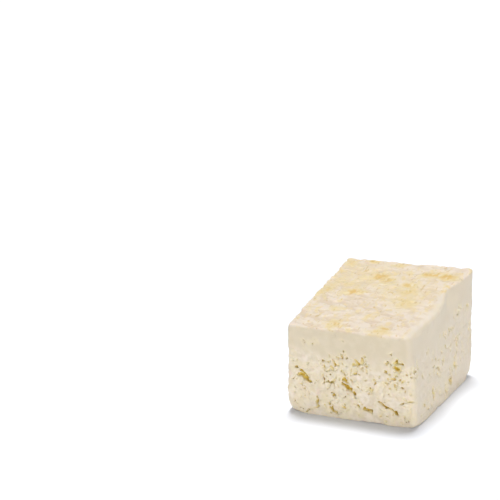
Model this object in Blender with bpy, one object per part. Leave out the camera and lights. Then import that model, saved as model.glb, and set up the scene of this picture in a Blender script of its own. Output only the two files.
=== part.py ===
"""A hand-cut block of bryndza, a white brined sheep's cheese, as one solid.

The block stands on its flat base, +Z up, with its front cut face towards -Y.
Its shape is one distance function: an uneven block with worn edges, less the grooves
between its pressed curd grains and the crevices where the grains have parted.
A fine grid is laid on a cube and sunk onto that shape, and flat places are then thinned out.
All sizes are in metres.
"""

import itertools
from collections import namedtuple

import bmesh
import bpy
import numpy as np

# The box that the block just fits, and the heights of its four top corners
WIDTH = 0.0930
DEPTH = 0.1150
FRONT_LEFT_HEIGHT = 0.0620
FRONT_RIGHT_HEIGHT = 0.0640
BACK_LEFT_HEIGHT = 0.0713
BACK_RIGHT_HEIGHT = 0.0761

# How far the corners of each side stand in from that box. Each side has a value for the
# foot of its front or left edge, the foot of its other edge, then the tops of the same two.
SET_IN = {
    "left": (0.0018, 0.0008, 0.0020, 0.0000),
    "right": (0.0000, 0.0000, 0.0054, 0.0018),
    "front": (0.0008, 0.0026, 0.0000, 0.0006),
    "back": (0.0006, 0.0016, 0.0000, 0.0004),
}

# Wear of the edges
EDGE_RADIUS = 0.0010
NEAR_CORNER_RADIUS = 0.0042
NEAR_CORNER_REACH = 0.020
SHOULDER_RADIUS = 0.0044
SHOULDER_REACH = 0.016
LEFT_FOOT_RADIUS = 0.0065
BACK_FOOT_RADIUS = 0.0100
FOOT_REACH = 0.016
CHIP_SIZE = 0.0042
CHIP_DEPTH = 0.0006

# The flake missing from the top edge of the right side, and the swelling in front of it
SCOOP_PLACE = 0.023
SCOOP_HALF_LENGTH = 0.013
SCOOP_DEPTH = 0.0050
SCOOP_REACH_DOWN = 0.017
SWELLING_PLACE = -0.016
SWELLING_HALF_LENGTH = 0.018
SWELLING_HEIGHT = 0.0022

# Hand-cut faces are wavy at two scales: (size of a wave, height of a wave, seed)
WAVES = ((0.030, 0.00055, 3), (0.0105, 0.00025, 4))

# Pressed curd, crumbly below a smooth band under the top. The grains swell between their
# grooves by a share of the grooves' depth.
SMOOTH_BAND = 0.014
BAND_FADE = 0.013
GRAIN_SIZE = 0.0058
GRAIN_SEED = 11
GRAIN_STEP = 0.0010
GROOVE_DEPTH = 0.0011
GROOVE_WIDTH = 0.0007
GRAIN_SWELLING = 0.3
BASE_FADE = 0.0025

# Random tables repeat after this many cells, which is further than the block is wide
TILE = 64

# How the grid is made
GRID_CUTS = 92
SINK_STEPS = 14
SINK_START = 0.0015
KEPT_SHARE = 0.105
SLOPE_STEP = 0.00005
LEVEL_WITHIN = 0.0001

CHEESE_COLOR = (0.79, 0.69, 0.52, 1.0)
CHEESE_ROUGHNESS = 0.62

# A crevice on one side of the block. along is its middle, from left to right as seen from
# outside, and up is its height over the base. tilt is in degrees from level, and bend lifts
# the middle of a crevice above its ends.
Crevice = namedtuple("Crevice", "side along up length tilt bend width depth")

PLACED_CREVICES = (
    Crevice("front", -0.0345, 0.0284, 0.0135, -38, 0.0008, 0.0022, 0.0045),
    Crevice("front", -0.0325, 0.0256, 0.0105, -36, 0.0000, 0.0026, 0.0045),
    Crevice("front", -0.0010, 0.0219, 0.0130, -34, 0.0004, 0.0030, 0.0045),
    Crevice("front", -0.0144, 0.0247, 0.0070, -8, 0.0004, 0.0024, 0.0035),
    Crevice("front", -0.0192, 0.0264, 0.0060, -80, 0.0000, 0.0018, 0.0030),
    Crevice("front", -0.0036, 0.0281, 0.0040, -60, 0.0000, 0.0026, 0.0035),
    Crevice("front", 0.0118, 0.0087, 0.0078, -18, 0.0012, 0.0036, 0.0050),
    Crevice("front", 0.0056, 0.0106, 0.0036, -70, 0.0000, 0.0022, 0.0035),
    Crevice("front", 0.0255, 0.0126, 0.0145, -28, 0.0006, 0.0019, 0.0040),
    Crevice("front", 0.0314, 0.0100, 0.0060, -34, 0.0000, 0.0026, 0.0040),
    Crevice("front", 0.0400, 0.0174, 0.0125, 17, 0.0014, 0.0018, 0.0035),
    Crevice("front", -0.0235, 0.0095, 0.0088, -84, 0.0006, 0.0023, 0.0040),
    Crevice("front", -0.0275, 0.0035, 0.0105, 31, 0.0000, 0.0014, 0.0025),
    Crevice("front", -0.0148, 0.0098, 0.0042, -75, 0.0000, 0.0021, 0.0035),
    Crevice("front", -0.0105, 0.0052, 0.0105, -32, -0.0010, 0.0020, 0.0035),
    Crevice("front", -0.0123, 0.0167, 0.0048, -33, 0.0000, 0.0020, 0.0030),
    Crevice("front", 0.0087, 0.0447, 0.0052, -85, 0.0000, 0.0018, 0.0030),
    Crevice("front", 0.0050, 0.0410, 0.0048, -68, 0.0000, 0.0016, 0.0030),
    Crevice("front", -0.0115, 0.0389, 0.0054, -62, 0.0000, 0.0020, 0.0030),
    Crevice("front", 0.0275, 0.0445, 0.0042, -24, 0.0000, 0.0016, 0.0030),
    Crevice("front", 0.0336, 0.0448, 0.0080, -8, 0.0012, 0.0016, 0.0030),
    Crevice("front", 0.0320, 0.0413, 0.0054, -74, 0.0000, 0.0018, 0.0030),
    Crevice("right", 0.0126, 0.0108, 0.0095, -50, 0.0000, 0.0032, 0.0045),
    Crevice("right", 0.0225, 0.0193, 0.0072, -48, 0.0000, 0.0028, 0.0040),
    Crevice("right", 0.0283, 0.0361, 0.0068, -42, 0.0000, 0.0022, 0.0035),
    Crevice("right", 0.0276, 0.0318, 0.0036, -40, 0.0000, 0.0020, 0.0030),
    Crevice("right", -0.0099, 0.0261, 0.0085, -35, 0.0010, 0.0020, 0.0030),
    Crevice("right", 0.0033, 0.0068, 0.0070, -60, 0.0000, 0.0028, 0.0035),
    Crevice("right", -0.0374, 0.0111, 0.0052, -42, 0.0000, 0.0022, 0.0030),
    Crevice("right", -0.0299, 0.0068, 0.0050, -20, 0.0000, 0.0018, 0.0025),
    Crevice("right", -0.0193, 0.0135, 0.0080, -70, 0.0000, 0.0018, 0.0025),
    Crevice("right", -0.0393, 0.0318, 0.0050, -60, 0.0000, 0.0018, 0.0025),
)

# The two sides turned away are finished by rule: (side, half its length, seed)
HIDDEN_SIDES = (("left", 0.047, 21), ("back", 0.037, 22))
HIDDEN_CREVICES = 12


def smooth_step(value, low, high):
    """0 below low, 1 above high and smooth between them. low may be the larger of the two."""
    share = np.clip((value - low) / (high - low), 0, 1)
    return share * share * (3 - 2 * share)


def bump(distance, half_width):
    """1 at distance 0, falling smoothly away over a few half widths."""
    return np.exp(-((distance / half_width) ** 2))


def between_corners(corners, along, up):
    """A value that runs evenly between two foot corners and two top corners."""
    foot = corners[0] + (corners[1] - corners[0]) * along
    top = corners[2] + (corners[3] - corners[2]) * along
    return foot + (top - foot) * up


def soft_noise(points, size, seed):
    """Smooth noise from -1 to 1 whose bumps are about size across."""
    table = np.random.default_rng(seed).uniform(-1, 1, (TILE, TILE, TILE))
    cell = np.floor(points / size).astype(int)
    share = points / size - cell
    share = share * share * (3 - 2 * share)
    total = np.zeros(len(points))
    for corner in itertools.product((0, 1), repeat=3):
        weight = np.prod(np.where(corner, share, 1 - share), axis=1)
        total += weight * table[tuple(((cell + corner) % TILE).T)]
    return total


def curd_grains(points, size, seed):
    """Each point's distance to the wall of its curd grain, and the grain's own number from 0 to 1."""
    random = np.random.default_rng(seed)
    places = random.random((TILE, TILE, TILE, 3))
    numbers = random.random((TILE, TILE, TILE))
    cell = np.floor(points / size).astype(int)
    nearest = np.full(len(points), np.inf)
    second = np.full(len(points), np.inf)
    number = np.zeros(len(points))
    for step in itertools.product((-1, 0, 1), repeat=3):
        index = tuple(((cell + step) % TILE).T)
        gap = np.linalg.norm((cell + step + places[index]) * size - points, axis=1)
        closer = gap < nearest
        second = np.where(closer, nearest, np.minimum(second, gap))
        number = np.where(closer, numbers[index], number)
        nearest = np.where(closer, gap, nearest)
    return (second - nearest) / 2, number


def top_height(across, back):
    """Height of the top where across runs from 0, left, to 1, right, and back from 0 to 1."""
    heights = (FRONT_LEFT_HEIGHT, FRONT_RIGHT_HEIGHT, BACK_LEFT_HEIGHT, BACK_RIGHT_HEIGHT)
    return between_corners(heights, across, back)


def scoop(points, top):
    """How far the right side stands in, or out where negative, along its worn top edge."""
    near_top = smooth_step(top - points[:, 2], SCOOP_REACH_DOWN, 0)
    missing = SCOOP_DEPTH * bump(points[:, 1] - SCOOP_PLACE, SCOOP_HALF_LENGTH)
    swelling = SWELLING_HEIGHT * bump(points[:, 1] - SWELLING_PLACE, SWELLING_HALF_LENGTH)
    return (missing - swelling) * near_top


def face_distances(points):
    """How far each point stands outside each of the block's six faces, negative inside."""
    x, y, z = points.T
    across = x / WIDTH + 0.5
    back = y / DEPTH + 0.5
    top = top_height(across, back)
    rise = z / top
    return {
        "left": -WIDTH / 2 - x + between_corners(SET_IN["left"], back, rise),
        "right": x - WIDTH / 2 + between_corners(SET_IN["right"], back, rise) + scoop(points, top),
        "front": -DEPTH / 2 - y + between_corners(SET_IN["front"], across, rise),
        "back": y - DEPTH / 2 + between_corners(SET_IN["back"], across, rise),
        "top": z - top,
        "base": -z,
    }


def edge_radius(points, faces):
    """The wear of the edges: tight along the cuts, rounder at the near corner, the shoulder
    above the front of the right side and the feet of two corners."""
    near_top = smooth_step(faces["top"], -SHOULDER_REACH, 0)
    near_right = smooth_step(faces["right"], -SHOULDER_REACH, 0)
    near_front = smooth_step(faces["front"], -NEAR_CORNER_REACH, 0)
    near_back = smooth_step(faces["back"], -FOOT_REACH, 0)
    near_left = smooth_step(faces["left"], -FOOT_REACH, 0)
    foot = smooth_step(points[:, 2], FOOT_REACH, 0)
    before_scoop = smooth_step(points[:, 1], SCOOP_PLACE, SCOOP_PLACE - SHOULDER_REACH)
    shoulder = near_right * near_top * before_scoop
    return (
        EDGE_RADIUS
        + (SHOULDER_RADIUS - EDGE_RADIUS) * shoulder
        + (NEAR_CORNER_RADIUS - EDGE_RADIUS) * near_right * near_front * (1 - near_top)
        + (LEFT_FOOT_RADIUS - EDGE_RADIUS) * foot * near_left * (1 - near_back)
        + (BACK_FOOT_RADIUS - EDGE_RADIUS) * foot * near_back
    )


def block_distance(points, faces):
    """Signed distance from the whole block with its worn edges, before any curd relief."""
    radius = edge_radius(points, faces)
    reach = np.stack(
        [
            np.maximum(faces["left"], faces["right"]) + radius,
            np.maximum(faces["front"], faces["back"]) + radius,
            np.maximum(faces["top"], faces["base"]) + radius,
        ]
    )
    outside = np.linalg.norm(np.maximum(reach, 0), axis=0)
    near_edge = smooth_step(np.sort(reach, axis=0)[1], -2 * CHIP_SIZE, 0)
    chips = CHIP_DEPTH * near_edge * np.maximum(soft_noise(points, CHIP_SIZE, 5), 0)
    return outside + np.minimum(reach.max(axis=0), 0) - radius + chips


def crumbliness(points, faces):
    """From 0 on the top and in the smooth band under it to 1 in the crumbly curd below."""
    below_top = -faces["top"] + 0.006 * soft_noise(points, 0.016, 6)
    return smooth_step(below_top, SMOOTH_BAND, SMOOTH_BAND + BAND_FADE)


def grain_relief(points, faces):
    """How far the surface sinks at the joints between curd grains, and swells between them."""
    wall, number = curd_grains(points, GRAIN_SIZE, GRAIN_SEED)
    groove = GROOVE_DEPTH * (np.exp(-wall / GROOVE_WIDTH) - GRAIN_SWELLING)
    looseness = 0.55 + 0.45 * soft_noise(points, 0.012, 7)
    return crumbliness(points, faces) * looseness * (groove + GRAIN_STEP * (number - 0.5))


def hidden_crevices(side, half_length, seed):
    """Crevices scattered by a seeded rule over the lower part of a side that is turned away."""
    random = np.random.default_rng(seed)
    made = []
    for place in np.linspace(-half_length, half_length, HIDDEN_CREVICES):
        made.append(
            Crevice(
                side,
                along=place + random.uniform(-0.003, 0.003),
                up=random.uniform(0.005, 0.042),
                length=random.uniform(0.007, 0.016),
                tilt=random.uniform(-75, 25),
                bend=random.uniform(-0.001, 0.0015),
                width=random.uniform(0.0014, 0.0032),
                depth=random.uniform(0.003, 0.0045),
            )
        )
    return made


def all_crevices():
    made = list(PLACED_CREVICES)
    for side, half_length, seed in HIDDEN_SIDES:
        made += hidden_crevices(side, half_length, seed)
    return made


def crevice_distance(points, faces, crevices):
    """Signed distance from the nearest crevice: negative in the gap between parted grains."""
    ragged = points + 0.0006 * np.stack(
        [soft_noise(points, 0.0028, seed) for seed in (31, 32, 33)], axis=1
    )
    along = {
        "front": ragged[:, 0],
        "right": ragged[:, 1],
        "back": -ragged[:, 0],
        "left": -ragged[:, 1],
    }
    nearest = np.full(len(points), np.inf)
    for crevice in crevices:
        tilt = np.radians(crevice.tilt)
        level = along[crevice.side] - crevice.along
        height = ragged[:, 2] - crevice.up
        run = level * np.cos(tilt) + height * np.sin(tilt)
        drift = height * np.cos(tilt) - level * np.sin(tilt)
        taper = np.clip(1 - (2 * run / crevice.length) ** 2, -1, 1)
        sunk = -faces[crevice.side] / crevice.depth
        half_gap = crevice.width / 2 * np.sqrt(np.maximum(taper, 0)) * (1 - sunk)
        gap = np.abs(drift - crevice.bend * taper) - half_gap
        beyond = np.abs(run) - crevice.length / 2
        nearest = np.minimum(nearest, np.maximum(gap, beyond))
    return nearest


def cheese_distance(points, crevices):
    """Signed distance from the finished block, with a base that stays flat."""
    faces = face_distances(points)
    relief = grain_relief(points, faces)
    for size, height, seed in WAVES:
        relief += height * soft_noise(points, size, seed)
    above_base = smooth_step(points[:, 2], 0, BASE_FADE)
    surface = block_distance(points, faces) + above_base * relief
    carved = np.maximum(surface, -crevice_distance(points, faces, crevices))
    return np.maximum(carved, faces["base"])


def whole_block_distance(points):
    return block_distance(points, face_distances(points))


def outward(points, distance):
    """Unit directions in which a distance function grows."""
    steps = np.eye(3) * SLOPE_STEP
    slope = np.stack([distance(points + step) - distance(points - step) for step in steps], axis=1)
    return slope / np.linalg.norm(slope, axis=1, keepdims=True)


def sink_onto_cheese(cube_points, crevices):
    """Moves points of a unit cube onto the whole block, then straight in to the finished shape."""
    across = cube_points[:, 0] + 0.5
    back = cube_points[:, 1] + 0.5
    height = (cube_points[:, 2] + 0.5) * top_height(across, back)
    points = np.stack([cube_points[:, 0] * WIDTH, cube_points[:, 1] * DEPTH, height], axis=1)
    for _ in range(SINK_STEPS):
        points -= whole_block_distance(points)[:, None] * outward(points, whole_block_distance)
    inwards = -outward(points, whole_block_distance)
    points -= SINK_START * inwards
    for _ in range(2 * SINK_STEPS):
        points += inwards * (0.7 * cheese_distance(points, crevices))[:, None]
    return points


def grid_on_cube():
    """A closed unit cube whose faces carry an even grid."""
    grid = bmesh.new()
    bmesh.ops.create_cube(grid, size=1)
    bmesh.ops.subdivide_edges(grid, edges=grid.edges, cuts=GRID_CUTS, use_grid_fill=True)
    return grid


def cheese_material():
    material = bpy.data.materials.new("bryndza")
    material.use_nodes = True
    shader = material.node_tree.nodes["Principled BSDF"]
    shader.inputs["Base Color"].default_value = CHEESE_COLOR
    shader.inputs["Roughness"].default_value = CHEESE_ROUGHNESS
    shader.inputs["Metallic"].default_value = 0
    return material


def thin_out(block):
    """Keeps the small triangles where the surface bends and joins them where it is flat."""
    thinner = block.modifiers.new("thin out", "DECIMATE")
    thinner.ratio = KEPT_SHARE
    evaluated = block.evaluated_get(bpy.context.evaluated_depsgraph_get())
    mesh = bpy.data.meshes.new_from_object(evaluated)
    block.modifiers.clear()
    block.data = mesh


def level_base(mesh):
    for vertex in mesh.vertices:
        if vertex.co.z < LEVEL_WITHIN:
            vertex.co.z = 0


def make_block(collection):
    grid = grid_on_cube()
    points = sink_onto_cheese(np.array([vertex.co for vertex in grid.verts]), all_crevices())
    for vertex, point in zip(grid.verts, points):
        vertex.co = point
    mesh = bpy.data.meshes.new("bryndza_block")
    grid.to_mesh(mesh)
    grid.free()
    block = bpy.data.objects.new("bryndza_block", mesh)
    collection.objects.link(block)
    thin_out(block)
    level_base(block.data)
    block.data.shade_smooth()
    block.data.materials.append(cheese_material())


def main():
    for old in list(bpy.data.objects):
        bpy.data.objects.remove(old)
    collection = bpy.data.collections.new("bryndza")
    bpy.context.scene.collection.children.link(collection)
    make_block(collection)


main()
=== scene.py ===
"""Looks of a hand-cut block of bryndza, a white brined sheep's cheese, in plain studio light.

The block is one distance function sampled on a fine lattice and skinned with quads: an
uneven block with worn edges and a lumpy skin, less the crevices and small pits between the
grains of its pressed curd. All sizes are in metres. Points are held as three rows, x, y and z.
"""

import itertools
from collections import namedtuple
from functools import cache
from math import cos, radians, sin

import bpy
import numpy as np
from mathutils import Matrix, Vector


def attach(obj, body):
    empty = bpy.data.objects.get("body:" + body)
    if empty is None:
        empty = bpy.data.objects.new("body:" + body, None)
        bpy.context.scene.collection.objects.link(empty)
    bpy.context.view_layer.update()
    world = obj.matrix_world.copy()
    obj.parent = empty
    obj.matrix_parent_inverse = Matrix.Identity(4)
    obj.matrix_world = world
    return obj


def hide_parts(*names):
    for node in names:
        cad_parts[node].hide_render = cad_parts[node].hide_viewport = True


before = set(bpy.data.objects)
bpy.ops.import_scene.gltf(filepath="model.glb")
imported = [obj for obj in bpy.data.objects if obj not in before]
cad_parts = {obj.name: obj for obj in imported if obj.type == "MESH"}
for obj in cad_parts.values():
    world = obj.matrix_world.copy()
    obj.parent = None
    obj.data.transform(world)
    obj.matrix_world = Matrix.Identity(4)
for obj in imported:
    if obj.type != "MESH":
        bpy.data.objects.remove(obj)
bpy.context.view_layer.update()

# Smooth noise: the size of its bumps, how high they are or how far they move a point, and
# the seed of its random table
Wave = namedtuple("Wave", "size height seed")

# The box that the block just fits, and the heights of its four top corners
WIDTH = 0.0930
DEPTH = 0.1150
FRONT_LEFT_HEIGHT = 0.0620
FRONT_RIGHT_HEIGHT = 0.0640
BACK_LEFT_HEIGHT = 0.0713
BACK_RIGHT_HEIGHT = 0.0761

# How far the corners of each side stand in from that box. Each side has a value for the
# foot of its front or left edge, the foot of its other edge, then the tops of the same two.
SET_IN = {
    "left": (0.0018, 0.0008, 0.0020, 0.0000),
    "right": (0.0000, 0.0000, 0.0054, 0.0018),
    "front": (0.0008, 0.0026, 0.0000, 0.0006),
    "back": (0.0006, 0.0016, 0.0000, 0.0004),
}

# Wear of the edges
EDGE_RADIUS = 0.0010
NEAR_CORNER_RADIUS = 0.0042
NEAR_CORNER_REACH = 0.020
SHOULDER_RADIUS = 0.0044
SHOULDER_REACH = 0.016
LEFT_FOOT_RADIUS = 0.0065
BACK_FOOT_RADIUS = 0.0100
FOOT_REACH = 0.016
CHIPS = Wave(0.0042, 0.0006, 5)

# The flake missing from the top edge of the right side, and the swelling in front of it
SCOOP_PLACE = 0.023
SCOOP_HALF_LENGTH = 0.013
SCOOP_DEPTH = 0.0050
SCOOP_REACH_DOWN = 0.017
SWELLING_PLACE = -0.016
SWELLING_HALF_LENGTH = 0.018
SWELLING_HEIGHT = 0.0022

# Hand-cut faces are wavy at two scales. No relief of the skin reaches deeper than this.
WAVES = (Wave(0.030, 0.00055, 3), Wave(0.0105, 0.00025, 4))
RELIEF_REACH = 0.0025

# Pressed curd, crumbly below a smooth band under the top whose lower edge is wavy. A step
# is how far neighbouring grains or crumbs differ in height. They swell between their
# grooves by a share of the grooves' depth, and the grains lie looser in some patches.
SMOOTH_BAND = 0.014
BAND_FADE = 0.013
BAND_WAVE = Wave(0.016, 0.006, 6)
GRAIN_SIZE = 0.0058
GRAIN_SEED = 11
GRAIN_STEP = 0.0006
GROOVE_DEPTH = 0.0005
GROOVE_WIDTH = 0.0006
GRAIN_SWELLING = 0.3
LOOSENESS = 0.55
LOOSE_PATCHES = Wave(0.012, 0.45, 7)
CRUMB_SIZE = 0.0021
CRUMB_SEED = 12
CRUMB_STEP = 0.00022
CRUMB_GROOVE_WIDTH = 0.2 * CRUMB_SIZE
BASE_FADE = 0.0025

# Flakes torn out of the top, drawn out along the knife's way, which is in degrees from +X.
# A flake's edge falls between two levels of its noise. Down the sides the flakes are full
# to a small depth below the top and gone at a larger one.
TOP_FLAKES = (Wave(0.0060, 0.00040, 51), Wave(0.0032, 0.00034, 52), Wave(0.0017, 0.00022, 53))
FLAKE_SHAKE = Wave(0.0040, 0.0014, 55)
FLAKE_EDGE = (-0.15, 0.30)
KNIFE_WAY = -14
KNIFE_STRETCH = 1.35
FLAKES_GONE = 0.0030
FLAKES_FULL = 0.0005
FLAKES_WORN_OFF_SHOULDER = 0.8

# A crevice on one side of the block. along is its middle, from left to right as seen from
# outside, and up is its height over the base. tilt is in degrees from level, and bend lifts
# the middle of a crevice above its ends.
Crevice = namedtuple("Crevice", "side along up length tilt bend width depth")

# How far from its side a crevice is looked for, what makes its course ragged, the share by
# which its gap narrows and widens along the way, and the crumbs that stand out of its walls
CREVICE_REACH = 0.0060
CREVICE_SHAKES = (Wave(0.0030, 0.0008, 31), Wave(0.0014, 0.0006, 34))
CREVICE_PINCH = Wave(0.0019, 0.75, 37)
CREVICE_CRUMBS = Wave(0.0014, 0.0006, 38)

PLACED_CREVICES = (
    Crevice("front", -0.0345, 0.0284, 0.0135, -38, 0.0008, 0.0022, 0.0045),
    Crevice("front", -0.0325, 0.0256, 0.0105, -36, 0.0000, 0.0026, 0.0045),
    Crevice("front", -0.0010, 0.0219, 0.0130, -34, 0.0004, 0.0030, 0.0045),
    Crevice("front", -0.0144, 0.0247, 0.0070, -8, 0.0004, 0.0024, 0.0035),
    Crevice("front", -0.0192, 0.0264, 0.0060, -80, 0.0000, 0.0018, 0.0030),
    Crevice("front", -0.0036, 0.0281, 0.0040, -60, 0.0000, 0.0026, 0.0035),
    Crevice("front", 0.0118, 0.0087, 0.0078, -18, 0.0012, 0.0036, 0.0050),
    Crevice("front", 0.0056, 0.0106, 0.0036, -70, 0.0000, 0.0022, 0.0035),
    Crevice("front", 0.0255, 0.0126, 0.0145, -28, 0.0006, 0.0019, 0.0040),
    Crevice("front", 0.0314, 0.0100, 0.0060, -34, 0.0000, 0.0026, 0.0040),
    Crevice("front", 0.0400, 0.0174, 0.0125, 17, 0.0014, 0.0018, 0.0035),
    Crevice("front", -0.0235, 0.0095, 0.0088, -84, 0.0006, 0.0023, 0.0040),
    Crevice("front", -0.0275, 0.0035, 0.0105, 31, 0.0000, 0.0014, 0.0025),
    Crevice("front", -0.0148, 0.0098, 0.0042, -75, 0.0000, 0.0021, 0.0035),
    Crevice("front", -0.0105, 0.0052, 0.0105, -32, -0.0010, 0.0020, 0.0035),
    Crevice("front", -0.0123, 0.0167, 0.0048, -33, 0.0000, 0.0020, 0.0030),
    Crevice("front", 0.0087, 0.0447, 0.0052, -85, 0.0000, 0.0018, 0.0030),
    Crevice("front", 0.0050, 0.0410, 0.0048, -68, 0.0000, 0.0016, 0.0030),
    Crevice("front", -0.0115, 0.0389, 0.0054, -62, 0.0000, 0.0020, 0.0030),
    Crevice("front", 0.0275, 0.0445, 0.0042, -24, 0.0000, 0.0016, 0.0030),
    Crevice("front", 0.0336, 0.0448, 0.0080, -8, 0.0012, 0.0016, 0.0030),
    Crevice("front", 0.0320, 0.0413, 0.0054, -74, 0.0000, 0.0018, 0.0030),
    Crevice("right", 0.0126, 0.0108, 0.0095, -50, 0.0000, 0.0032, 0.0045),
    Crevice("right", 0.0225, 0.0193, 0.0072, -48, 0.0000, 0.0028, 0.0040),
    Crevice("right", 0.0283, 0.0361, 0.0068, -42, 0.0000, 0.0022, 0.0035),
    Crevice("right", 0.0276, 0.0318, 0.0036, -40, 0.0000, 0.0020, 0.0030),
    Crevice("right", -0.0099, 0.0261, 0.0085, -35, 0.0010, 0.0020, 0.0030),
    Crevice("right", 0.0033, 0.0068, 0.0070, -60, 0.0000, 0.0028, 0.0035),
    Crevice("right", -0.0374, 0.0111, 0.0052, -42, 0.0000, 0.0022, 0.0030),
    Crevice("right", -0.0299, 0.0068, 0.0050, -20, 0.0000, 0.0018, 0.0025),
    Crevice("right", -0.0193, 0.0135, 0.0080, -70, 0.0000, 0.0018, 0.0025),
    Crevice("right", -0.0393, 0.0318, 0.0050, -60, 0.0000, 0.0018, 0.0025),
)

# The two sides turned away are finished by rule: (side, half its length, seed)
HIDDEN_SIDES = (("left", 0.047, 21), ("back", 0.037, 22))
HIDDEN_CREVICES = 12

# A cluster of small pits, scattered about its middle. tilt is the way most of them lie, and
# size is how many times larger they are than the lengths, widths and depths below.
Cluster = namedtuple(
    "Cluster", "side along up half_length half_height pits tilt size", defaults=(1.0,)
)

# The least and the most length, width and depth of a pit, how far its tilt strays from its
# cluster's, and how far most pits lie from the middle, as a share of the cluster's half size
PIT_LENGTHS = (0.0009, 0.0024)
PIT_WIDTHS = (0.0007, 0.0013)
PIT_DEPTHS = (0.0006, 0.0015)
PIT_STRAY = 35
PIT_SCATTER = 0.6

# The pits beside a crevice: one for each so much of its length, in a cluster whose half
# length and half height are shares of that length
PIT_SPACING = 0.0014
CRUMBLED_HALF_LENGTH = 0.6
CRUMBLED_HALF_HEIGHT = 0.4

# How many times larger the pits in the clusters of the right side are
RIGHT_PITS = 1.35

CLUSTERS = (
    Cluster("front", -0.0120, 0.0400, 0.006, 0.005, 21, -60),
    Cluster("front", -0.0040, 0.0445, 0.004, 0.003, 9, -80),
    Cluster("front", 0.0045, 0.0415, 0.006, 0.004, 16, -65),
    Cluster("front", 0.0120, 0.0390, 0.004, 0.004, 9, -60),
    Cluster("front", 0.0290, 0.0440, 0.008, 0.003, 9, -15),
    Cluster("front", 0.0330, 0.0385, 0.007, 0.005, 16, -40),
    Cluster("front", 0.0385, 0.0360, 0.005, 0.003, 9, -30),
    Cluster("front", -0.0195, 0.0260, 0.003, 0.005, 12, -75),
    Cluster("front", -0.0130, 0.0245, 0.005, 0.003, 16, -10),
    Cluster("front", -0.0040, 0.0275, 0.003, 0.003, 12, -60),
    Cluster("front", -0.0300, 0.0355, 0.004, 0.003, 9, -50),
    Cluster("front", -0.0200, 0.0370, 0.003, 0.003, 10, -80),
    Cluster("front", -0.0130, 0.0345, 0.006, 0.002, 13, 0),
    Cluster("front", 0.0153, 0.0237, 0.004, 0.002, 10, 10),
    Cluster("front", -0.0120, 0.0165, 0.004, 0.003, 9, -35),
    Cluster("front", 0.0056, 0.0143, 0.002, 0.004, 8, -85),
    Cluster("front", -0.0380, 0.0120, 0.005, 0.008, 12, -70),
    Cluster("front", 0.0385, 0.0070, 0.003, 0.005, 9, -70),
    Cluster("front", -0.0050, 0.0080, 0.006, 0.005, 9, -40),
    Cluster("front", 0.0290, 0.0310, 0.010, 0.005, 13, -45),
    Cluster("front", -0.0200, 0.0520, 0.024, 0.003, 6, -60),
    Cluster("front", -0.0260, 0.0193, 0.003, 0.002, 5, -60),
    Cluster("front", -0.0032, 0.0172, 0.002, 0.002, 5, -40),
    Cluster("front", -0.0057, 0.0552, 0.001, 0.001, 3, -30),
    Cluster("front", -0.0340, 0.0514, 0.001, 0.001, 3, -60),
    Cluster("front", 0.0423, 0.0439, 0.002, 0.002, 4, -50),
    Cluster("front", 0.0456, 0.0335, 0.001, 0.003, 4, -80),
    Cluster("front", -0.0405, 0.0400, 0.002, 0.005, 6, -80),
    Cluster("front", -0.0350, 0.0055, 0.004, 0.003, 8, -30),
    Cluster("front", -0.0330, 0.0150, 0.007, 0.006, 16, -60),
    Cluster("front", -0.0400, 0.0240, 0.002, 0.008, 9, -80),
    Cluster("front", -0.0150, 0.0060, 0.006, 0.003, 13, -45),
    Cluster("front", 0.0330, 0.0045, 0.008, 0.003, 8, -40),
    Cluster("front", 0.0440, 0.0250, 0.002, 0.008, 8, -80),
    Cluster("front", -0.0150, 0.0280, 0.022, 0.011, 34, -50),
    Cluster("front", 0.0220, 0.0280, 0.018, 0.012, 31, -45),
    Cluster("front", 0.0000, 0.0080, 0.034, 0.005, 18, -40),
    Cluster("front", -0.0080, 0.0340, 0.016, 0.009, 78, -60),
    Cluster("front", 0.0350, 0.0340, 0.008, 0.009, 34, -40),
    Cluster("front", -0.0320, 0.0180, 0.009, 0.009, 34, -60),
    Cluster("front", -0.0120, 0.0110, 0.008, 0.006, 31, -45),
    Cluster("front", 0.0390, 0.0090, 0.006, 0.006, 21, -50),
    Cluster("right", 0.0300, 0.0545, 0.010, 0.004, 16, -70, RIGHT_PITS),
    Cluster("right", 0.0462, 0.0525, 0.005, 0.004, 6, -70, RIGHT_PITS),
    Cluster("right", 0.0080, 0.0465, 0.013, 0.004, 10, -70, RIGHT_PITS),
    Cluster("right", 0.0285, 0.0350, 0.006, 0.005, 11, -70, RIGHT_PITS),
    Cluster("right", 0.0395, 0.0250, 0.013, 0.007, 11, -70, RIGHT_PITS),
    Cluster("right", 0.0225, 0.0200, 0.005, 0.007, 14, -75, RIGHT_PITS),
    Cluster("right", 0.0130, 0.0130, 0.005, 0.007, 14, -80, RIGHT_PITS),
    Cluster("right", 0.0035, 0.0075, 0.005, 0.005, 10, -75, RIGHT_PITS),
    Cluster("right", 0.0245, 0.0274, 0.005, 0.003, 4, -60, RIGHT_PITS),
    Cluster("right", 0.0195, 0.0418, 0.005, 0.004, 4, -60, RIGHT_PITS),
    Cluster("right", 0.0510, 0.0345, 0.003, 0.006, 6, -80, RIGHT_PITS),
    Cluster("right", -0.0090, 0.0265, 0.010, 0.004, 13, -40, RIGHT_PITS),
    Cluster("right", -0.0193, 0.0135, 0.003, 0.007, 13, -85, RIGHT_PITS),
    Cluster("right", -0.0330, 0.0085, 0.010, 0.004, 8, -40, RIGHT_PITS),
    Cluster("right", -0.0500, 0.0385, 0.005, 0.005, 8, -85, RIGHT_PITS),
    Cluster("right", -0.0280, 0.0453, 0.003, 0.003, 3, -60, RIGHT_PITS),
    Cluster("right", -0.0183, 0.0315, 0.003, 0.007, 6, -80, RIGHT_PITS),
    Cluster("right", -0.0080, 0.0370, 0.032, 0.007, 14, -60, RIGHT_PITS),
    Cluster("right", 0.0000, 0.0100, 0.048, 0.006, 14, -70, RIGHT_PITS),
)
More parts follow.
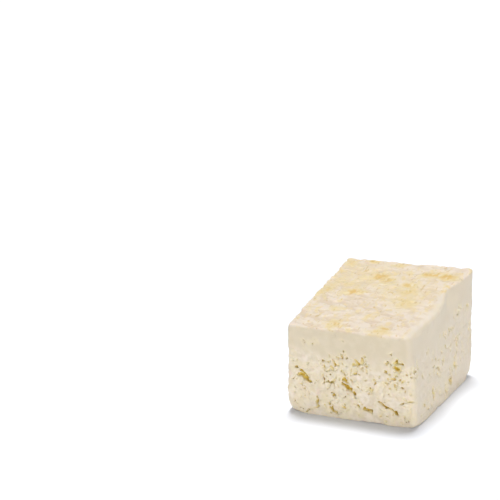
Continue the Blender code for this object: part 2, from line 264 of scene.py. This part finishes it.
HIDDEN_CLUSTERS = 14

# A random table has this many cells each way and then repeats, which is further than the
# block is long for all but the finest noise. The steps lead from one cell to the next along
# x, y and z.
TILE = 64
ROW_STEPS = np.array(((TILE * TILE,), (TILE,), (1,)))

# The lattice on which the distance is sampled, worked out in parts to save memory, and how
# many triangles of its skin are kept
LATTICE_STEP = 0.00050
LATTICE_MARGIN = 0.0020
LATTICE_PARTS = 120
KEPT_FACES = 190000

# An ochre stain on the top: its middle, half its length across and half its width along the
# block, and how strong it is
Stain = namedtuple("Stain", "x y half_across half_along strength")

# What makes the stains ragged
STAIN_SHAKES = (Wave(0.0075, 0.0030, 81), Wave(0.0026, 0.0018, 84))

STAINS = (
    Stain(-0.0200, 0.0300, 0.0260, 0.0240, 0.38),
    Stain(0.0120, 0.0140, 0.0240, 0.0260, 0.34),
    Stain(-0.0380, 0.0200, 0.0090, 0.0260, 0.34),
    Stain(-0.0128, 0.0335, 0.0070, 0.0080, 1.0),
    Stain(-0.0072, 0.0265, 0.0058, 0.0065, 0.9),
    Stain(-0.0006, 0.0216, 0.0040, 0.0040, 0.6),
    Stain(0.0215, 0.0418, 0.0068, 0.0046, 1.05),
    Stain(0.0305, 0.0405, 0.0072, 0.0046, 1.10),
    Stain(0.0130, 0.0220, 0.0060, 0.0042, 0.95),
    Stain(0.0155, 0.0130, 0.0060, 0.0090, 0.65),
    Stain(-0.0200, 0.0040, 0.0066, 0.0064, 1.1),
    Stain(0.0180, -0.0040, 0.0110, 0.0130, 0.6),
    Stain(-0.0425, 0.0030, 0.0038, 0.0150, 0.7),
    Stain(-0.0425, 0.0347, 0.0032, 0.0042, 0.7),
    Stain(-0.0410, 0.0500, 0.0055, 0.0075, 0.6),
    Stain(-0.0270, 0.0556, 0.0055, 0.0024, 1.0),
    Stain(-0.0050, 0.0520, 0.0060, 0.0034, 0.65),
    Stain(0.0060, 0.0420, 0.0034, 0.0034, 0.7),
    Stain(0.0038, 0.0300, 0.0028, 0.0034, 0.65),
    Stain(-0.0300, 0.0170, 0.0065, 0.0055, 0.6),
    Stain(0.0375, 0.0270, 0.0034, 0.0034, 0.8),
    Stain(0.0371, 0.0151, 0.0016, 0.0040, 0.8),
    Stain(0.0425, 0.0030, 0.0024, 0.0180, 0.6),
    Stain(0.0020, -0.0325, 0.0036, 0.0070, 0.65),
    Stain(-0.0225, -0.0255, 0.0038, 0.0055, 0.55),
    Stain(-0.0110, -0.0325, 0.0028, 0.0048, 0.6),
    Stain(-0.0160, -0.0495, 0.0052, 0.0080, 0.8),
    Stain(-0.0070, -0.0490, 0.0026, 0.0034, 0.65),
    Stain(0.0200, -0.0480, 0.0030, 0.0038, 1.25),
    Stain(0.0190, -0.0540, 0.0090, 0.0036, 0.65),
)

# What the material is told of the skin: the depth at which an opening has its full colour,
# the width of its rim, the height from the most to the least worn parts of the top, and
# where the colours of the top and of the right side set in
OPENING_DEPTH = 0.0025
RIM_WIDTH = 0.0012
WORN_RANGE = 0.0010
TOPSIDE_FADE = (-0.0022, -0.0004)
RIGHT_SIDE_FADE = (-0.006, 0.002)

# The camera looks from the front and right, a little from above. The picture's middle lies
# left of the front left foot of the block, and above it.
CAMERA_AZIMUTH = 23.15
CAMERA_ELEVATION = 18.76
CAMERA_DISTANCE = 2.0
CAMERA_LENS = 216
FRONT_LEFT_FOOT = (-0.04535, -0.0546, 0)
MIDDLE_LEFT_OF_FOOT = 0.02486
MIDDLE_ABOVE_FOOT = 0.10645

# A steep key light from behind on the left and a low fill from the front on the right. Each
# has its azimuth, elevation, strength and spread, with the angles in degrees.
KEY_LIGHT = (210, 77, 2.75, 19)
FILL_LIGHT = (30, 12, 1.4, 40)

# The room is brightest at the horizon and fades towards the height where it is dimmest
ROOM_COLOR = (0.98, 0.99, 1.02)
HORIZON_STRENGTH = 1.35
ZENITH_STRENGTH = 0.1
DIMMEST_HEIGHT = 0.6

FLOOR_COLOR = (0.905, 0.925, 0.975)
FLOOR_HALF_WIDTH = 6.0


def smooth_step(value, low, high):
    """0 below low, 1 above high and smooth between them. low may be the larger of the two."""
    share = np.clip((value - low) / (high - low), 0, 1)
    return share * share * (3 - 2 * share)


def bump(distance, half_width):
    """1 at distance 0, falling smoothly away over a few half widths."""
    return np.exp(-((distance / half_width) ** 2))


def between_corners(corners, along, up):
    """A value that runs evenly between two foot corners and two top corners."""
    foot = corners[0] + (corners[1] - corners[0]) * along
    top = corners[2] + (corners[3] - corners[2]) * along
    return foot + (top - foot) * up


@cache
def noise_table(seed):
    return np.random.default_rng(seed).uniform(-1, 1, TILE**3).astype(np.float32)


@cache
def grain_table(seed):
    """A random place in each cell of a lattice, and a random number for each."""
    random = np.random.default_rng(seed)
    places = random.random((TILE**3, 3)).T.astype(np.float32)
    numbers = random.random(TILE**3).astype(np.float32)
    return np.ascontiguousarray(places), numbers


def soft_noise(points, size, seed):
    """Smooth noise from -1 to 1 whose bumps are about size across."""
    table = noise_table(seed)
    place = points / size
    start = np.floor(place)
    share = place - start
    share *= share * (3 - 2 * share)
    weights = (1 - share, share)
    cell = start.astype(np.int64)
    rows = [(cell + step) % TILE * ROW_STEPS for step in (0, 1)]
    total = np.zeros(points.shape[1], np.float32)
    for x, y, z in itertools.product((0, 1), repeat=3):
        weight = weights[x][0] * weights[y][1] * weights[z][2]
        total += weight * table[rows[x][0] + rows[y][1] + rows[z][2]]
    return total


def curd_grains(points, size, seed):
    """Each point's distance to the wall of its curd grain, and the grain's own number from 0 to 1."""
    places, numbers = grain_table(seed)
    place = points / size
    start = np.floor(place)
    back = start - place
    cell = start.astype(np.int64)
    rows = {step: (cell + step) % TILE * ROW_STEPS for step in (-1, 0, 1)}
    nearest = np.full(points.shape[1], np.inf, np.float32)
    second = nearest.copy()
    number = np.zeros(points.shape[1], np.float32)
    for x, y, z in itertools.product((-1, 0, 1), repeat=3):
        row = rows[x][0] + rows[y][1] + rows[z][2]
        gap = (back[0] + (x + places[0][row])) ** 2
        gap += (back[1] + (y + places[1][row])) ** 2
        gap += (back[2] + (z + places[2][row])) ** 2
        closer = gap < nearest
        second = np.where(closer, nearest, np.minimum(second, gap))
        number = np.where(closer, numbers[row], number)
        nearest = np.where(closer, gap, nearest)
    return size * (np.sqrt(second) - np.sqrt(nearest)) / 2, number


def wave_height(points, wave):
    return wave.height * soft_noise(points, wave.size, wave.seed)


def shaken(points, *waves):
    """The points moved about by smooth noise, which makes shapes measured from them ragged."""
    for wave in waves:
        moves = [soft_noise(points, wave.size, wave.seed + axis) for axis in range(3)]
        points = points + wave.height * np.stack(moves)
    return points


def top_height(across, back):
    """Height of the top where across runs from 0, left, to 1, right, and back from 0 to 1."""
    heights = (FRONT_LEFT_HEIGHT, FRONT_RIGHT_HEIGHT, BACK_LEFT_HEIGHT, BACK_RIGHT_HEIGHT)
    return between_corners(heights, across, back)


def scoop(points, top):
    """How far the right side stands in, or out where negative, along its worn top edge."""
    near_top = smooth_step(top - points[2], SCOOP_REACH_DOWN, 0)
    missing = SCOOP_DEPTH * bump(points[1] - SCOOP_PLACE, SCOOP_HALF_LENGTH)
    swelling = SWELLING_HEIGHT * bump(points[1] - SWELLING_PLACE, SWELLING_HALF_LENGTH)
    return (missing - swelling) * near_top


def face_distances(points):
    """How far each point stands outside each of the block's six faces, negative inside."""
    x, y, z = points
    across = x / WIDTH + 0.5
    back = y / DEPTH + 0.5
    top = top_height(across, back)
    rise = z / top
    return {
        "left": -WIDTH / 2 - x + between_corners(SET_IN["left"], back, rise),
        "right": x - WIDTH / 2 + between_corners(SET_IN["right"], back, rise) + scoop(points, top),
        "front": -DEPTH / 2 - y + between_corners(SET_IN["front"], across, rise),
        "back": y - DEPTH / 2 + between_corners(SET_IN["back"], across, rise),
        "top": z - top,
        "base": -z,
    }


def edge_radius(points, faces):
    """The wear of the edges: tight along the cuts, rounder at the near corner, the shoulder
    above the front of the right side and the feet of the left side and the back."""
    near_top = smooth_step(faces["top"], -SHOULDER_REACH, 0)
    near_right = smooth_step(faces["right"], -SHOULDER_REACH, 0)
    near_front = smooth_step(faces["front"], -NEAR_CORNER_REACH, 0)
    near_back = smooth_step(faces["back"], -FOOT_REACH, 0)
    near_left = smooth_step(faces["left"], -FOOT_REACH, 0)
    foot = smooth_step(points[2], FOOT_REACH, 0)
    before_scoop = smooth_step(points[1], SCOOP_PLACE, SCOOP_PLACE - SHOULDER_REACH)
    shoulder = near_right * near_top * before_scoop
    return (
        EDGE_RADIUS
        + (SHOULDER_RADIUS - EDGE_RADIUS) * shoulder
        + (NEAR_CORNER_RADIUS - EDGE_RADIUS) * near_right * near_front * (1 - near_top)
        + (LEFT_FOOT_RADIUS - EDGE_RADIUS) * foot * near_left * (1 - near_back)
        + (BACK_FOOT_RADIUS - EDGE_RADIUS) * foot * near_back
    )


def block_distance(points, faces):
    """Signed distance from the whole block with its worn edges, before any curd relief."""
    radius = edge_radius(points, faces)
    reach = np.stack(
        [
            np.maximum(faces["left"], faces["right"]) + radius,
            np.maximum(faces["front"], faces["back"]) + radius,
            np.maximum(faces["top"], faces["base"]) + radius,
        ]
    )
    outside = np.sqrt((np.maximum(reach, 0) ** 2).sum(axis=0))
    near_edge = smooth_step(np.sort(reach, axis=0)[1], -2 * CHIPS.size, 0)
    chips = CHIPS.height * near_edge * np.maximum(soft_noise(points, CHIPS.size, CHIPS.seed), 0)
    return outside + np.minimum(reach.max(axis=0), 0) - radius + chips


def crumbliness(points, faces):
    """From 0 on the top and in the smooth band under it to 1 in the crumbly curd below."""
    below_top = wave_height(points, BAND_WAVE) - faces["top"]
    return smooth_step(below_top, SMOOTH_BAND, SMOOTH_BAND + BAND_FADE)


def curd_relief(points, crumbly):
    """How far the surface sinks at the joints between curd grains, and swells between them."""
    wall, number = curd_grains(points, GRAIN_SIZE, GRAIN_SEED)
    groove = GROOVE_DEPTH * (np.exp(-wall / GROOVE_WIDTH) - GRAIN_SWELLING)
    looseness = LOOSENESS + wave_height(points, LOOSE_PATCHES)
    crumb_wall, crumb = curd_grains(points, CRUMB_SIZE, CRUMB_SEED)
    crumb_groove = np.exp(-crumb_wall / CRUMB_GROOVE_WIDTH) - GRAIN_SWELLING
    crumbs = CRUMB_STEP * (crumb - 0.5 + crumb_groove)
    return crumbly * (looseness * (groove + GRAIN_STEP * (number - 0.5)) + crumbs)


def top_relief(points):
    """How far the top sinks where the knife has torn flakes out of it, or rises between them."""
    x, y, z = points
    way = radians(KNIFE_WAY)
    drawn_out = np.stack(((x * cos(way) + y * sin(way)) / KNIFE_STRETCH, y * cos(way) - x * sin(way), z))
    torn = shaken(drawn_out, FLAKE_SHAKE)
    return sum(
        flake.height * (smooth_step(soft_noise(torn, flake.size, flake.seed), *FLAKE_EDGE) - 0.5)
        for flake in TOP_FLAKES
    )


def smoothed_shoulder(points, faces):
    """From 0 to 1 where the top runs smoothly over into the front of the right side."""
    near_right = smooth_step(faces["right"], -SHOULDER_REACH / 2, -SHOULDER_RADIUS / 2)
    return near_right * smooth_step(points[1], SCOOP_PLACE, SCOOP_PLACE - SHOULDER_REACH)


def relief_depth(points, faces):
    """How far the skin sinks below the whole block, before any crevice."""
    relief = sum(wave_height(points, wave) for wave in WAVES)
    crumbly = crumbliness(points, faces)
    curd = np.flatnonzero(crumbly > 0)
    relief[curd] += curd_relief(points[:, curd], crumbly[curd])
    on_top = smooth_step(faces["top"], -FLAKES_GONE, -FLAKES_FULL)
    on_top *= 1 - FLAKES_WORN_OFF_SHOULDER * smoothed_shoulder(points, faces)
    flaked = np.flatnonzero(on_top > 0)
    relief[flaked] += on_top[flaked] * top_relief(points[:, flaked])
    return smooth_step(points[2], 0, BASE_FADE) * relief


def hidden_crevices(side, half_length, seed):
    """Crevices scattered by a seeded rule over the lower part of a side that is turned away."""
    random = np.random.default_rng(seed)
    made = []
    for place in np.linspace(-half_length, half_length, HIDDEN_CREVICES):
        made.append(
            Crevice(
                side,
                along=place + random.uniform(-0.003, 0.003),
                up=random.uniform(0.005, 0.042),
                length=random.uniform(0.007, 0.016),
                tilt=random.uniform(-75, 25),
                bend=random.uniform(-0.001, 0.0015),
                width=random.uniform(0.0014, 0.0032),
                depth=random.uniform(0.003, 0.0045),
            )
        )
    return made


def hidden_clusters(side, half_length, seed):
    """Clusters of pits scattered by a seeded rule over a side that is turned away."""
    random = np.random.default_rng(seed + 100)
    made = []
    for place in np.linspace(-half_length, half_length, HIDDEN_CLUSTERS):
        made.append(
            Cluster(
                side,
                along=place + random.uniform(-0.003, 0.003),
                up=random.uniform(0.010, 0.046),
                half_length=random.uniform(0.003, 0.008),
                half_height=random.uniform(0.002, 0.006),
                pits=random.integers(6, 15),
                tilt=random.uniform(-85, 10),
            )
        )
    return made


def pits_of(cluster, seed):
    """The pits of a cluster: short crevices, crowded towards its middle."""
    random = np.random.default_rng(seed)
    made = []
    for _ in range(cluster.pits):
        made.append(
            Crevice(
                cluster.side,
                along=cluster.along + PIT_SCATTER * cluster.half_length * random.normal(),
                up=cluster.up + PIT_SCATTER * cluster.half_height * random.normal(),
                length=cluster.size * random.uniform(*PIT_LENGTHS),
                tilt=cluster.tilt + random.uniform(-PIT_STRAY, PIT_STRAY),
                bend=0.0,
                width=cluster.size * random.uniform(*PIT_WIDTHS),
                depth=cluster.size * random.uniform(*PIT_DEPTHS),
            )
        )
    return made


def crumbled_edges(crevice):
    """The cluster of pits where the curd has crumbled beside a crevice."""
    return Cluster(
        crevice.side,
        crevice.along,
        crevice.up,
        half_length=CRUMBLED_HALF_LENGTH * crevice.length,
        half_height=CRUMBLED_HALF_HEIGHT * crevice.length,
        pits=int(crevice.length / PIT_SPACING),
        tilt=crevice.tilt,
    )


def all_crevices():
    """Every crevice and pit, in a list for each side."""
    made = list(PLACED_CREVICES)
    clusters = list(CLUSTERS)
    for side, half_length, seed in HIDDEN_SIDES:
        made += hidden_crevices(side, half_length, seed)
        clusters += hidden_clusters(side, half_length, seed)
    clusters += [crumbled_edges(crevice) for crevice in made]
    for seed, cluster in enumerate(clusters):
        made += pits_of(cluster, seed)
    return {side: [crevice for crevice in made if crevice.side == side] for side in SET_IN}


def gap_distance(level, height, depth, pinch, crevice):
    """Signed distance from one crevice. level and height run along its side from its middle."""
    tilt = radians(crevice.tilt)
    run = level * cos(tilt) + height * sin(tilt)
    drift = height * cos(tilt) - level * sin(tilt)
    taper = np.clip(1 - (2 * run / crevice.length) ** 2, -1, 1)
    half_gap = crevice.width / 2 * np.sqrt(np.maximum(taper, 0)) * (1 - depth / crevice.depth)
    gap = np.abs(drift - crevice.bend * taper) - pinch * half_gap
    return np.maximum(gap, np.abs(run) - crevice.length / 2)


def crevice_distance(points, faces, crevices):
    """Signed distance from the nearest crevice: negative in the gap between parted grains."""
    nearest = np.full(points.shape[1], CREVICE_REACH, np.float32)
    for side, cuts in crevices.items():
        near = np.flatnonzero(faces[side] > -CREVICE_REACH)
        if len(near) == 0:
            continue
        ragged = shaken(points[:, near], *CREVICE_SHAKES)
        pinch = 1 + wave_height(ragged, CREVICE_PINCH)
        crumbs = wave_height(points[:, near], CREVICE_CRUMBS)
        along = {"front": ragged[0], "right": ragged[1], "back": -ragged[0], "left": -ragged[1]}[side]
        opened = nearest[near]
        for crevice in cuts:
            level = along - crevice.along
            if np.abs(level).min() < crevice.length:
                height = ragged[2] - crevice.up
                gap = gap_distance(level, height, -faces[side][near], pinch, crevice)
                opened = np.minimum(opened, gap)
        nearest[near] = opened + crumbs
    return nearest


def cheese_distance(points, crevices):
    """Signed distance from the finished block, with a base that stays flat. It is exact near
    the skin, and elsewhere that of the whole block."""
    faces = face_distances(points)
    whole = block_distance(points, faces)
    near = np.flatnonzero((whole > -CREVICE_REACH) & (whole < LATTICE_MARGIN))
    near_points = points[:, near]
    near_faces = face_distances(near_points)
    surface = whole[near]
    shallow = np.flatnonzero(surface > -RELIEF_REACH)
    shallow_points = near_points[:, shallow]
    surface[shallow] += relief_depth(shallow_points, face_distances(shallow_points))
    opened = crevice_distance(near_points, near_faces, crevices)
    whole[near] = np.maximum(np.maximum(surface, -opened), near_faces["base"])
    return whole


def sampled_lattice(crevices):
    """The signed distance on an even lattice, worked out a part at a time, and its low corner."""
    low = np.array((-WIDTH / 2, -DEPTH / 2, 0)) - LATTICE_MARGIN
    high = np.array((WIDTH / 2, DEPTH / 2, BACK_RIGHT_HEIGHT)) + LATTICE_MARGIN
    # The base lies half a step above a layer of the lattice, so that it comes out level
    low[2] = -3.5 * LATTICE_STEP
    axes = [np.arange(start, end, LATTICE_STEP) for start, end in zip(low, high)]
    points = np.stack(np.meshgrid(*axes, indexing="ij")).reshape(3, -1).astype(np.float32)
    parts = np.array_split(points, LATTICE_PARTS, axis=1)
    field = np.concatenate([cheese_distance(part, crevices) for part in parts])
    return field.reshape([len(axis) for axis in axes]), low


def skin_of(field, low):
    """Quads over the places where the field passes through zero, one corner for each cell."""
    # Each edge of the lattice that passes through the skin gets a quad, with its corners in
    # the four cells round that edge
    corners = []
    crossings = []
    for axis in range(3):
        ahead, side, up = np.roll(np.eye(3, dtype=int), -axis, axis=0)
        ends = np.array(field.shape) - ahead
        here = field[: ends[0], : ends[1], : ends[2]]
        there = field[ahead[0] :, ahead[1] :, ahead[2] :]
        edge = np.argwhere((here < 0) != (there < 0))
        value = here[tuple(edge.T)]
        step = value / (value - there[tuple(edge.T)])
        cells = [edge, edge - side, edge - side - up, edge - up]
        numbers = np.stack([np.ravel_multi_index(cell.T, field.shape) for cell in cells], axis=1)
        corners.append(np.where((value < 0)[:, None], numbers, numbers[:, ::-1]))
        crossings.append(np.repeat(edge + step[:, None] * ahead, 4, axis=0))
    # The corner in each cell lies in the middle of the crossings on the cell's edges
    _, quads = np.unique(np.concatenate(corners), return_inverse=True)
    crossings = np.concatenate(crossings)
    shares = np.bincount(quads.ravel())
    points = [np.bincount(quads.ravel(), crossings[:, axis]) / shares for axis in range(3)]
    return low + LATTICE_STEP * np.stack(points, axis=1), quads.reshape(-1, 4)


def outer_skin(points, quads):
    """Drops the crumbs and bubbles that hang free of the block's own skin."""
    # Joined points take on the lowest of their labels until none of them changes
    label = np.arange(len(points))
    while True:
        joined = label.copy()
        np.minimum.at(joined, quads.ravel(), np.repeat(label[quads].min(axis=1), 4))
        joined = joined[joined]
        if (joined == label).all():
            break
        label = joined
    kept = label == np.bincount(label).argmax()
    renumbered = np.cumsum(kept) - 1
    return points[kept], renumbered[quads[kept[quads[:, 0]]]]


def make_block():
    crevices = all_crevices()
    points, quads = outer_skin(*skin_of(*sampled_lattice(crevices)))
    mesh = bpy.data.meshes.new("bryndza_look")
    mesh.from_pydata(points.tolist(), [], quads.tolist())
    block = bpy.data.objects.new("bryndza_look", mesh)
    bpy.context.collection.objects.link(block)
    thin_out = block.modifiers.new("thin out flat places", "DECIMATE")
    thin_out.ratio = KEPT_FACES / (2 * len(quads))
    thinned = bpy.data.meshes.new_from_object(
        block.evaluated_get(bpy.context.evaluated_depsgraph_get())
    )
    block.modifiers.clear()
    block.data = thinned
    thinned.shade_smooth()
    add_skin_values(thinned, crevices)
    return block


def stain_strength(points):
    """How ochre the top is at each point, from 0 to 1."""
    ragged = shaken(points, *STAIN_SHAKES)
    total = np.zeros(points.shape[1])
    for stain in STAINS:
        across = (ragged[0] - stain.x) / stain.half_across
        along = (ragged[1] - stain.y) / stain.half_along
        total = np.maximum(total, stain.strength * np.exp(-(across**2) - along**2))
    return total


def add_values(mesh, name, values):
    """Stores one number for each corner point of a mesh, for its material to read."""
    attribute = mesh.attributes.new(name, "FLOAT", "POINT")
    attribute.data.foreach_set("value", values.astype(np.float32))


def add_skin_values(mesh, crevices):
    """Stores what the material needs to know of each point: how deep in an opening it lies and
    how near one, how crumbly or worn down the curd is, how stained, and where on the block."""
    places = np.empty(3 * len(mesh.vertices), np.float32)
    mesh.vertices.foreach_get("co", places)
    points = np.ascontiguousarray(places.reshape(-1, 3).T)
    faces = face_distances(points)
    relief = relief_depth(points, faces)
    sunk = -block_distance(points, faces) - relief
    other_sides = np.maximum(np.maximum(faces["front"], faces["back"]), faces["left"])
    add_values(mesh, "sunk", np.clip(sunk / OPENING_DEPTH, 0, 1))
    add_values(mesh, "near_opening", bump(crevice_distance(points, faces, crevices), RIM_WIDTH))
    add_values(mesh, "crumbly", crumbliness(points, faces))
    add_values(mesh, "worn", np.clip(top_relief(points) / WORN_RANGE + 0.5, 0, 1))
    add_values(mesh, "stain", stain_strength(points))
    add_values(mesh, "topside", smooth_step(faces["top"], *TOPSIDE_FADE))
    add_values(mesh, "shoulder", smoothed_shoulder(points, faces))
    add_values(mesh, "right_side", smooth_step(faces["right"] - other_sides, *RIGHT_SIDE_FADE))


class Nodes:
    """Adds nodes to a material and joins them up."""

    def __init__(self, material):
        material.use_nodes = True
        self.tree = material.node_tree
        self.shader = self.tree.nodes["Principled BSDF"]

    def add(self, kind, **settings):
        node = self.tree.nodes.new(kind)
        for name, value in settings.items():
            setattr(node, name, value)
        return node

    def join(self, source, target):
        self.tree.links.new(source, target)

    def value(self, name):
        return self.add("ShaderNodeAttribute", attribute_name=name).outputs["Fac"]

    def noise(self, scale, detail=4.0, density=(1, 1, 1)):
        """Noise with about scale bumps to the metre, or that times its density on each axis."""
        place = self.add("ShaderNodeTexCoord").outputs["Object"]
        mapping = self.add("ShaderNodeMapping")
        mapping.inputs["Scale"].default_value = density
        self.join(place, mapping.inputs["Vector"])
        noise = self.add("ShaderNodeTexNoise")
        noise.inputs["Scale"].default_value = scale
        noise.inputs["Detail"].default_value = detail
        self.join(mapping.outputs["Vector"], noise.inputs["Vector"])
        return noise.outputs["Fac"]

    def between(self, value, low, high, most=1.0):
        """0 where a value is at low or less, and most where it is at high or more."""
        node = self.add("ShaderNodeMapRange", interpolation_type="SMOOTHSTEP")
        node.inputs["From Min"].default_value = low
        node.inputs["From Max"].default_value = high
        node.inputs["To Max"].default_value = most
        self.join(value, node.inputs["Value"])
        return node.outputs["Result"]

    def times(self, one, other):
        node = self.add("ShaderNodeMath", operation="MULTIPLY")
        self.join(one, node.inputs[0])
        self.join(other, node.inputs[1])
        return node.outputs["Value"]

    def mix(self, share, one, other):
        """One colour turned into another by a share. A colour is an RGB triple or a socket."""
        node = self.add("ShaderNodeMix", data_type="RGBA")
        self.join(share, node.inputs["Factor"])
        for socket, source in ((node.inputs["A"], one), (node.inputs["B"], other)):
            if isinstance(source, tuple):
                socket.default_value = (*source, 1)
            else:
                self.join(source, socket)
        return node.outputs["Result"]


# Colours of the sides, of the top and of crevices and pits, as linear red, green and blue
SIDE_SMOOTH = (0.625, 0.540, 0.390)
SIDE_FAINT = (0.655, 0.568, 0.422)
SIDE_DULL = (0.650, 0.562, 0.418)
SIDE_PALE = (0.745, 0.660, 0.540)
SIDE_YELLOW = (0.690, 0.605, 0.398)
SIDE_PINK = (0.725, 0.580, 0.462)
RIGHT_CREAM = (0.682, 0.595, 0.462)
TOP_DULL = (0.638, 0.512, 0.368)
TOP_PALE = (0.735, 0.636, 0.522)
TOP_YELLOW = (0.720, 0.590, 0.340)
TOP_OCHRE = (0.650, 0.440, 0.150)
TOP_FLECK = (0.560, 0.405, 0.165)
TOP_SHOULDER = (0.715, 0.640, 0.530)
OPENING_RIM = (0.725, 0.630, 0.430)
OPENING_OLIVE = (0.720, 0.610, 0.325)
OPENING_GOLD = (0.660, 0.470, 0.080)


def side_color(nodes):
    """Even cream in the smooth band, and below it crumbly curd in cream, yellow and pink."""
    mottled = nodes.between(nodes.noise(260, detail=6.0), 0.35, 0.65)
    curd = nodes.mix(mottled, SIDE_DULL, SIDE_PALE)
    curd = nodes.mix(nodes.between(nodes.noise(120), 0.50, 0.66, most=0.5), curd, SIDE_YELLOW)
    curd = nodes.mix(nodes.between(nodes.noise(160), 0.53, 0.68, most=0.6), curd, SIDE_PINK)
    smooth = nodes.mix(nodes.between(nodes.noise(140, detail=5.0), 0.40, 0.65), SIDE_SMOOTH, SIDE_FAINT)
    color = nodes.mix(nodes.between(nodes.value("crumbly"), 0.0, 1.0), smooth, curd)
    calm = nodes.between(nodes.value("right_side"), 0.0, 1.0, most=0.7)
    return nodes.mix(calm, color, RIGHT_CREAM)


def top_color(nodes):
    """Paler where the top stands up, duller where it is worn down, with ochre stains."""
    drawn_out = (1, 0.45, 1)
    color = nodes.mix(nodes.between(nodes.value("worn"), 0.20, 0.80, most=0.7), TOP_PALE, TOP_DULL)
    spotted = nodes.between(nodes.noise(300, density=drawn_out), 0.52, 0.64, most=0.8)
    color = nodes.mix(spotted, color, TOP_YELLOW)
    broken_up = nodes.between(nodes.noise(330, detail=6.0, density=drawn_out), 0.15, 0.58)
    stained = nodes.times(nodes.value("stain"), broken_up)
    color = nodes.mix(nodes.between(stained, 0.00, 0.50), color, TOP_YELLOW)
    color = nodes.mix(nodes.between(stained, 0.35, 1.10), color, TOP_OCHRE)
    flecked = nodes.between(nodes.noise(430, detail=2.0, density=drawn_out), 0.62, 0.70, most=0.6)
    color = nodes.mix(flecked, color, TOP_FLECK)
    return nodes.mix(nodes.between(nodes.value("shoulder"), 0.0, 1.0, most=0.8), color, TOP_SHOULDER)


def cheese_material():
    material = bpy.data.materials.new("bryndza_curd")
    nodes = Nodes(material)
    color = nodes.mix(nodes.value("topside"), side_color(nodes), top_color(nodes))
    color = nodes.mix(nodes.between(nodes.value("near_opening"), 0.2, 1.0, most=0.5), color, OPENING_RIM)
    color = nodes.mix(nodes.between(nodes.value("sunk"), 0.12, 0.50), color, OPENING_OLIVE)
    color = nodes.mix(nodes.between(nodes.value("sunk"), 0.45, 1.00), color, OPENING_GOLD)
    nodes.join(color, nodes.shader.inputs["Base Color"])
    nodes.shader.inputs["Roughness"].default_value = 0.55
    nodes.shader.inputs["Specular IOR Level"].default_value = 0.35
    nodes.shader.inputs["Subsurface Weight"].default_value = 0.25
    nodes.shader.inputs["Subsurface Radius"].default_value = (1.0, 0.7, 0.35)
    nodes.shader.inputs["Subsurface Scale"].default_value = 0.0015
    bump_node = nodes.add("ShaderNodeBump")
    bump_node.inputs["Strength"].default_value = 0.35
    bump_node.inputs["Distance"].default_value = 0.0003
    nodes.join(nodes.noise(900, detail=6.0), bump_node.inputs["Height"])
    nodes.join(bump_node.outputs["Normal"], nodes.shader.inputs["Normal"])
    return material


def floor_material():
    material = bpy.data.materials.new("floor_white")
    nodes = Nodes(material)
    nodes.shader.inputs["Base Color"].default_value = (*FLOOR_COLOR, 1)
    nodes.shader.inputs["Roughness"].default_value = 0.9
    nodes.shader.inputs["Specular IOR Level"].default_value = 0.1
    return material


def make_floor():
    mesh = bpy.data.meshes.new("floor")
    half = FLOOR_HALF_WIDTH
    corners = [(-half, -half, 0), (half, -half, 0), (half, half, 0), (-half, half, 0)]
    mesh.from_pydata(corners, [], [(0, 1, 2, 3)])
    mesh.materials.append(floor_material())
    floor = bpy.data.objects.new("floor", mesh)
    bpy.context.collection.objects.link(floor)
    return floor


def add_sun(name, azimuth, elevation, strength, spread):
    """A soft distant light. azimuth is where it stands, in degrees round from the front."""
    light = bpy.data.lights.new(name, "SUN")
    light.energy = strength
    light.angle = radians(spread)
    sun = bpy.data.objects.new(name, light)
    sun.rotation_euler = (radians(90 - elevation), 0, radians(azimuth))
    bpy.context.collection.objects.link(sun)


def add_room():
    """White light from all round, bright near the horizon and dim overhead."""
    world = bpy.data.worlds.new("studio")
    bpy.context.scene.world = world
    world.use_nodes = True
    tree = world.node_tree
    way = tree.nodes.new("ShaderNodeTexCoord")
    parts = tree.nodes.new("ShaderNodeSeparateXYZ")
    fade = tree.nodes.new("ShaderNodeMapRange")
    fade.interpolation_type = "SMOOTHSTEP"
    fade.inputs["From Max"].default_value = DIMMEST_HEIGHT
    fade.inputs["To Min"].default_value = HORIZON_STRENGTH
    fade.inputs["To Max"].default_value = ZENITH_STRENGTH
    tree.links.new(way.outputs["Generated"], parts.inputs["Vector"])
    tree.links.new(parts.outputs["Z"], fade.inputs["Value"])
    background = tree.nodes["Background"]
    background.inputs["Color"].default_value = (*ROOM_COLOR, 1)
    tree.links.new(fade.outputs["Result"], background.inputs["Strength"])


def add_camera():
    azimuth = radians(CAMERA_AZIMUTH)
    elevation = radians(CAMERA_ELEVATION)
    back = Vector((sin(azimuth) * cos(elevation), -cos(azimuth) * cos(elevation), sin(elevation)))
    right = Vector((cos(azimuth), sin(azimuth), 0))
    up = back.cross(right)
    middle = Vector(FRONT_LEFT_FOOT) - MIDDLE_LEFT_OF_FOOT * right + MIDDLE_ABOVE_FOOT * up
    lens = bpy.data.cameras.new("camera")
    lens.lens = CAMERA_LENS
    lens.sensor_width = 36
    camera = bpy.data.objects.new("camera", lens)
    camera.matrix_world = Matrix.LocRotScale(
        middle + CAMERA_DISTANCE * back, Matrix((right, up, back)).transposed(), None
    )
    bpy.context.collection.objects.link(camera)
    bpy.context.scene.camera = camera


def main():
    block = make_block()
    block.data.materials.append(cheese_material())
    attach(block, "root")
    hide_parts("bryndza_block")
    make_floor()
    add_room()
    add_sun("key", *KEY_LIGHT)
    add_sun("fill", *FILL_LIGHT)
    add_camera()
    bpy.context.scene.view_settings.view_transform = "Standard"


main()
